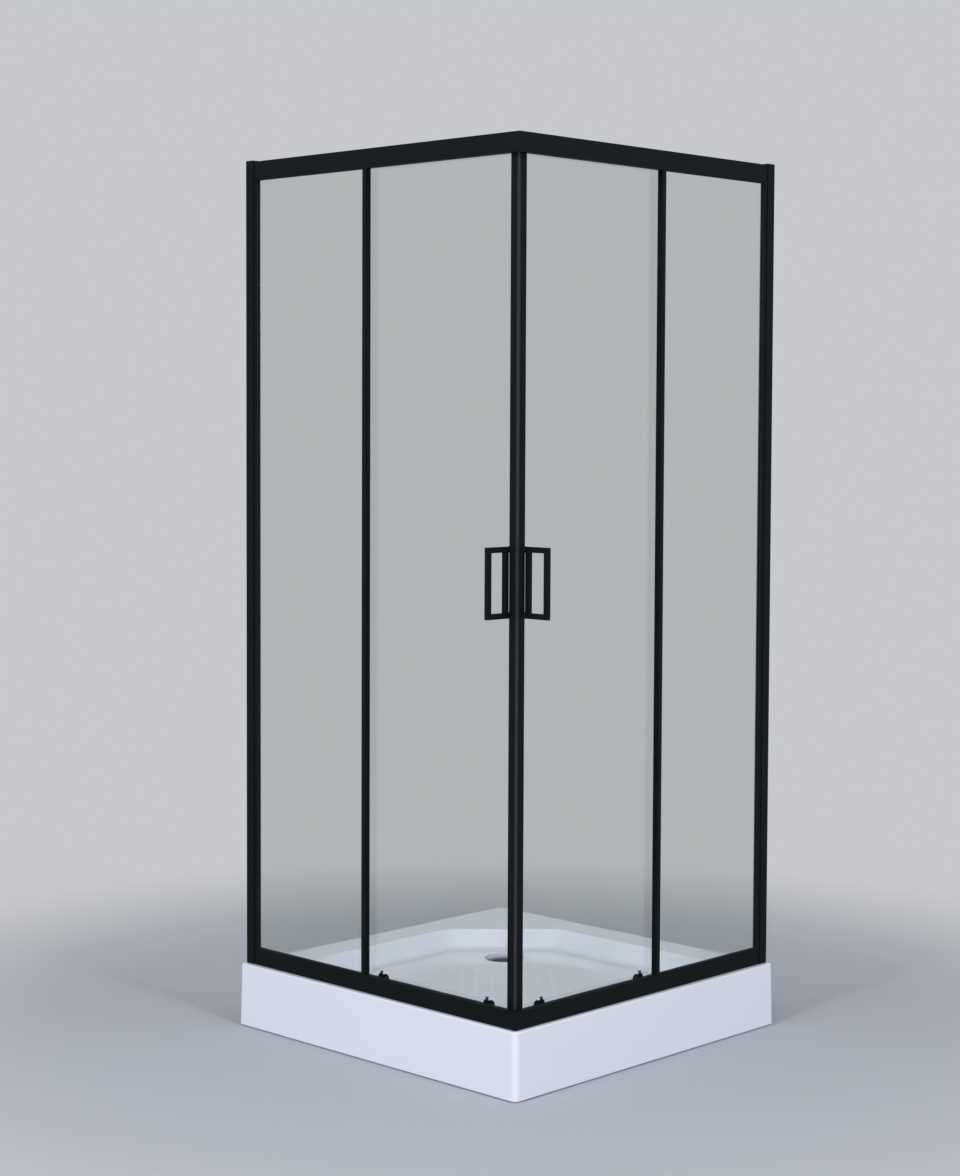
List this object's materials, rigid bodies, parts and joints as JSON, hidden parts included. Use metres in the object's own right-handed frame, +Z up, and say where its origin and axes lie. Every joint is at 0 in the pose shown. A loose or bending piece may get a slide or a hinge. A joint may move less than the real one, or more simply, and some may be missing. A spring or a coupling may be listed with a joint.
{
  "type": "shower cabin",
  "caption": "Square corner-entry shower cabin: white tray on levelling feet, framed clear glass on two sides, and sliding doors that meet at the corner.",
  "frame": {"origin": "on the floor under the centre of the tray, on the centre levelling foot's underside", "axes": "+Z up; the walls are at -X and +Y; the entry corner is at +X and -Y"},
  "size_m": [0.9305, 0.9305, 2.053],
  "materials": {
    "white_acrylic": "gloss white acrylic, lightly pebbled underfoot",
    "black_aluminium": "satin black powder coat on aluminium",
    "handle_black": "satin black powder coat on square bar",
    "clear_glass": "clear toughened glass with a slight green tint",
    "black_plastic": "moulded black plastic",
    "black_rubber": "matt black rubber",
    "magnet_rubber": "dark grey flexible magnetic strip",
    "clear_seal": "translucent soft plastic",
    "wheel_nylon": "dark grey turned nylon",
    "grey_plastic": "moulded light grey plastic",
    "chrome": "polished chrome",
    "steel": "zinc plated steel",
    "foot_steel": "zinc plated rod on a moulded foot",
    "black_screws": "black coated steel",
    "board": "resin-sealed chipboard"
  },
  "bodies": {
    "root": {"tray": "white_acrylic", "base_board": "board", "foot_sockets": "black_plastic", "foot_lock_nuts": "steel", "drain_flange": "chrome", "drain_gasket": "black_rubber", "drain_trap": "grey_plastic", "head_corner_bracket": "grey_plastic", "bottom_corner_bracket": "grey_plastic", "channel_caps": "black_plastic", "groove_infill_strips": "black_aluminium", "frame_screws": "black_screws", "door_stops": "black_rubber", "glazing_gaskets": "black_rubber", "wall_channel_left": "black_aluminium", "jamb_left": "black_aluminium", "head_rail_left": "black_aluminium", "bottom_rail_left": "black_aluminium", "fixed_stile_left": "black_aluminium", "fixed_glass_left": "clear_glass", "wall_channel_right": "black_aluminium", "jamb_right": "black_aluminium", "head_rail_right": "black_aluminium", "bottom_rail_right": "black_aluminium", "fixed_stile_right": "black_aluminium", "fixed_glass_right": "clear_glass"},
    "door_left": {"door_glass_left": "clear_glass", "door_stile_left": "black_aluminium", "magnetic_seal_left": "magnet_rubber", "trailing_seal_left": "clear_seal", "handle_left": "handle_black", "door_fixings_left": "black_screws", "top_roller_mounts_left": "black_plastic", "bottom_roller_housings_left": "black_plastic"},
    "top_wheel_wall_left": {"top_wheel_wall_left": "wheel_nylon"},
    "release_slider_wall_left": {"release_slider_wall_left": "black_plastic"},
    "bottom_wheel_wall_left": {"bottom_wheel_wall_left": "wheel_nylon"},
    "top_wheel_entry_left": {"top_wheel_entry_left": "wheel_nylon"},
    "release_slider_entry_left": {"release_slider_entry_left": "black_plastic"},
    "bottom_wheel_entry_left": {"bottom_wheel_entry_left": "wheel_nylon"},
    "door_right": {"door_glass_right": "clear_glass", "door_stile_right": "black_aluminium", "magnetic_seal_right": "magnet_rubber", "trailing_seal_right": "clear_seal", "handle_right": "handle_black", "door_fixings_right": "black_screws", "top_roller_mounts_right": "black_plastic", "bottom_roller_housings_right": "black_plastic"},
    "top_wheel_wall_right": {"top_wheel_wall_right": "wheel_nylon"},
    "release_slider_wall_right": {"release_slider_wall_right": "black_plastic"},
    "bottom_wheel_wall_right": {"bottom_wheel_wall_right": "wheel_nylon"},
    "top_wheel_entry_right": {"top_wheel_entry_right": "wheel_nylon"},
    "release_slider_entry_right": {"release_slider_entry_right": "black_plastic"},
    "bottom_wheel_entry_right": {"bottom_wheel_entry_right": "wheel_nylon"},
    "levelling_foot_centre": {"levelling_foot_centre": "foot_steel"},
    "levelling_foot_entry": {"levelling_foot_entry": "foot_steel"},
    "levelling_foot_left": {"levelling_foot_left": "foot_steel"},
    "levelling_foot_right": {"levelling_foot_right": "foot_steel"},
    "levelling_foot_back": {"levelling_foot_back": "foot_steel"},
    "drain_cover": {"drain_cover": "chrome"}
  },
  "joints": [
    {"name": "door_left_slide", "type": "slide", "parent": "root", "child": "door_left", "axis": [-1, 0, 0], "range_m": [0, 0.355]},
    {"name": "top_wheel_wall_left_spin", "type": "hinge", "parent": "door_left", "child": "top_wheel_wall_left", "pos_m": [-0.004, -0.403, 2.029], "axis": [0, 1, 0], "continuous": true},
    {"name": "release_slider_wall_left_lift", "type": "slide", "parent": "door_left", "child": "release_slider_wall_left", "axis": [0, 0, 1], "range_m": [0, 0.005], "stiffness_N_per_m": 400, "springref_m": -0.004},
    {"name": "bottom_wheel_wall_left_spin", "type": "hinge", "parent": "release_slider_wall_left", "child": "bottom_wheel_wall_left", "pos_m": [-0.004, -0.403, 0.171], "axis": [0, 1, 0], "continuous": true},
    {"name": "top_wheel_entry_left_spin", "type": "hinge", "parent": "door_left", "child": "top_wheel_entry_left", "pos_m": [0.3265, -0.403, 2.029], "axis": [0, 1, 0], "continuous": true},
    {"name": "release_slider_entry_left_lift", "type": "slide", "parent": "door_left", "child": "release_slider_entry_left", "axis": [0, 0, 1], "range_m": [0, 0.005], "stiffness_N_per_m": 400, "springref_m": -0.004},
    {"name": "bottom_wheel_entry_left_spin", "type": "hinge", "parent": "release_slider_entry_left", "child": "bottom_wheel_entry_left", "pos_m": [0.3265, -0.403, 0.171], "axis": [0, 1, 0], "continuous": true},
    {"name": "door_right_slide", "type": "slide", "parent": "root", "child": "door_right", "axis": [0, 1, 0], "range_m": [0, 0.355]},
    {"name": "top_wheel_wall_right_spin", "type": "hinge", "parent": "door_right", "child": "top_wheel_wall_right", "pos_m": [0.403, 0.004, 2.029], "axis": [1, 0, 0], "continuous": true},
    {"name": "release_slider_wall_right_lift", "type": "slide", "parent": "door_right", "child": "release_slider_wall_right", "axis": [0, 0, 1], "range_m": [0, 0.005], "stiffness_N_per_m": 400, "springref_m": -0.004},
    {"name": "bottom_wheel_wall_right_spin", "type": "hinge", "parent": "release_slider_wall_right", "child": "bottom_wheel_wall_right", "pos_m": [0.403, 0.004, 0.171], "axis": [1, 0, 0], "continuous": true},
    {"name": "top_wheel_entry_right_spin", "type": "hinge", "parent": "door_right", "child": "top_wheel_entry_right", "pos_m": [0.403, -0.3265, 2.029], "axis": [1, 0, 0], "continuous": true},
    {"name": "release_slider_entry_right_lift", "type": "slide", "parent": "door_right", "child": "release_slider_entry_right", "axis": [0, 0, 1], "range_m": [0, 0.005], "stiffness_N_per_m": 400, "springref_m": -0.004},
    {"name": "bottom_wheel_entry_right_spin", "type": "hinge", "parent": "release_slider_entry_right", "child": "bottom_wheel_entry_right", "pos_m": [0.403, -0.3265, 0.171], "axis": [1, 0, 0], "continuous": true},
    {"name": "levelling_foot_centre_screw", "type": "slide", "parent": "root", "child": "levelling_foot_centre", "axis": [0, 0, -1], "range_m": [0, 0.015]},
    {"name": "levelling_foot_entry_screw", "type": "slide", "parent": "root", "child": "levelling_foot_entry", "axis": [0, 0, -1], "range_m": [0, 0.015]},
    {"name": "levelling_foot_left_screw", "type": "slide", "parent": "root", "child": "levelling_foot_left", "axis": [0, 0, -1], "range_m": [0, 0.015]},
    {"name": "levelling_foot_right_screw", "type": "slide", "parent": "root", "child": "levelling_foot_right", "axis": [0, 0, -1], "range_m": [0, 0.015]},
    {"name": "levelling_foot_back_screw", "type": "slide", "parent": "root", "child": "levelling_foot_back", "axis": [0, 0, -1], "range_m": [0, 0.015]},
    {"name": "drain_cover_lift", "type": "slide", "parent": "root", "child": "drain_cover", "axis": [0, 0, 1], "range_m": [0, 0.08]}
  ],
  "couplings": [
    {"joint": "top_wheel_wall_left_spin", "follows": "door_left_slide", "rad_per_m": -111.11},
    {"joint": "bottom_wheel_wall_left_spin", "follows": "door_left_slide", "rad_per_m": -142.86},
    {"joint": "top_wheel_entry_left_spin", "follows": "door_left_slide", "rad_per_m": -111.11},
    {"joint": "bottom_wheel_entry_left_spin", "follows": "door_left_slide", "rad_per_m": -142.86},
    {"joint": "top_wheel_wall_right_spin", "follows": "door_right_slide", "rad_per_m": -111.11},
    {"joint": "bottom_wheel_wall_right_spin", "follows": "door_right_slide", "rad_per_m": -142.86},
    {"joint": "top_wheel_entry_right_spin", "follows": "door_right_slide", "rad_per_m": -111.11},
    {"joint": "bottom_wheel_entry_right_spin", "follows": "door_right_slide", "rad_per_m": -142.86}
  ]
}
